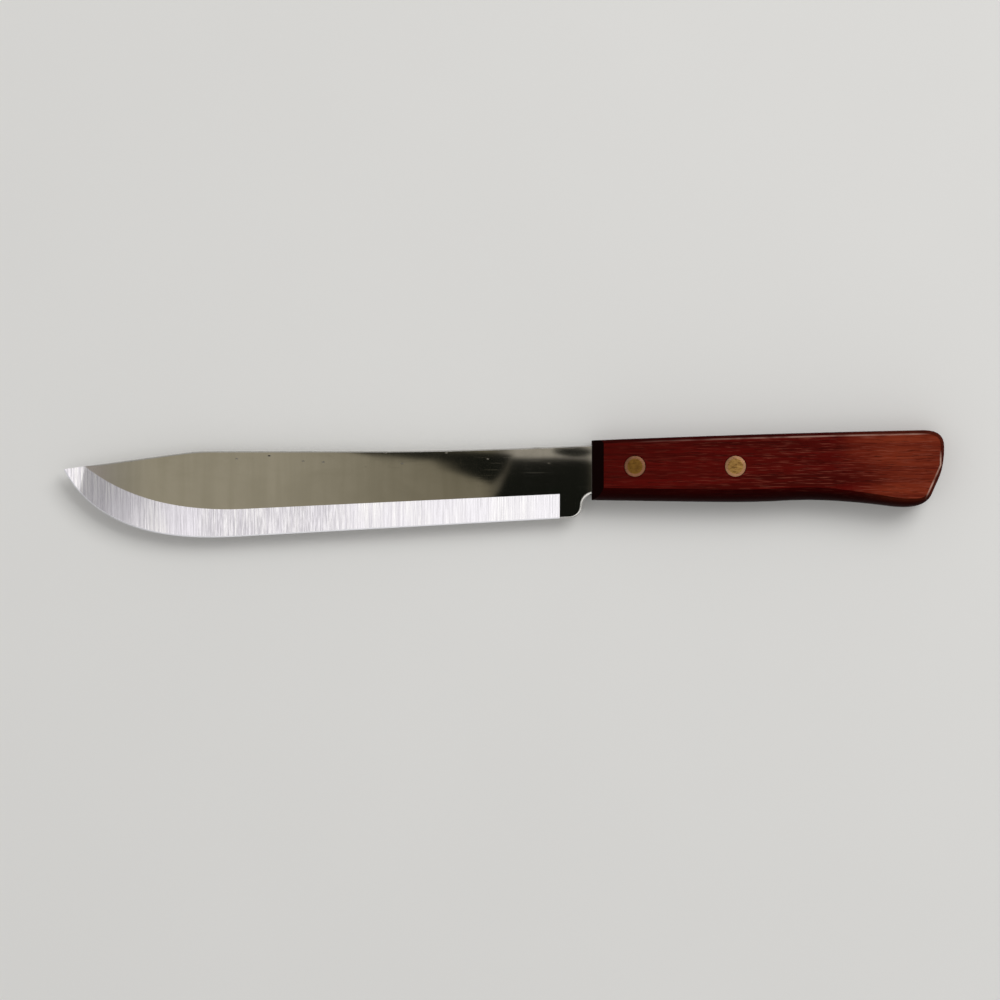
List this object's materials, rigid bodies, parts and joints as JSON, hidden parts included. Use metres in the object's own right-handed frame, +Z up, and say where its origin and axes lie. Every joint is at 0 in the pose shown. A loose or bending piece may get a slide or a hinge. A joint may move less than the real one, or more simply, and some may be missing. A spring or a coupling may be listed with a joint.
{
  "type": "butcher knife",
  "caption": "Butcher knife: broad clip-backed steel blade with a deep curved belly and ground bevel, riveted by its half tang between hooked wooden scales.",
  "frame": {"origin": "on the surface that the knife lies on, under the middle of its bounding box", "axes": "+X from the tip to the butt, +Y from the cutting edge to the spine, +Z up, out of the knife's left side"},
  "size_m": [0.3348, 0.0408, 0.016],
  "materials": {
    "blade_steel": "stainless steel, polished flats and a ground bevel with lines across it",
    "handle_wood": "oiled dark red-brown hardwood with fine open pores along the grain",
    "rivet_brass": "worn brass, sanded flush with the wood"
  },
  "bodies": {
    "root": {"blade": "blade_steel", "left_scale": "handle_wood", "right_scale": "handle_wood", "front_rivet_pin": "rivet_brass", "front_rivet_sleeve": "rivet_brass", "rear_rivet_pin": "rivet_brass", "rear_rivet_sleeve": "rivet_brass"}
  },
  "joints": []
}
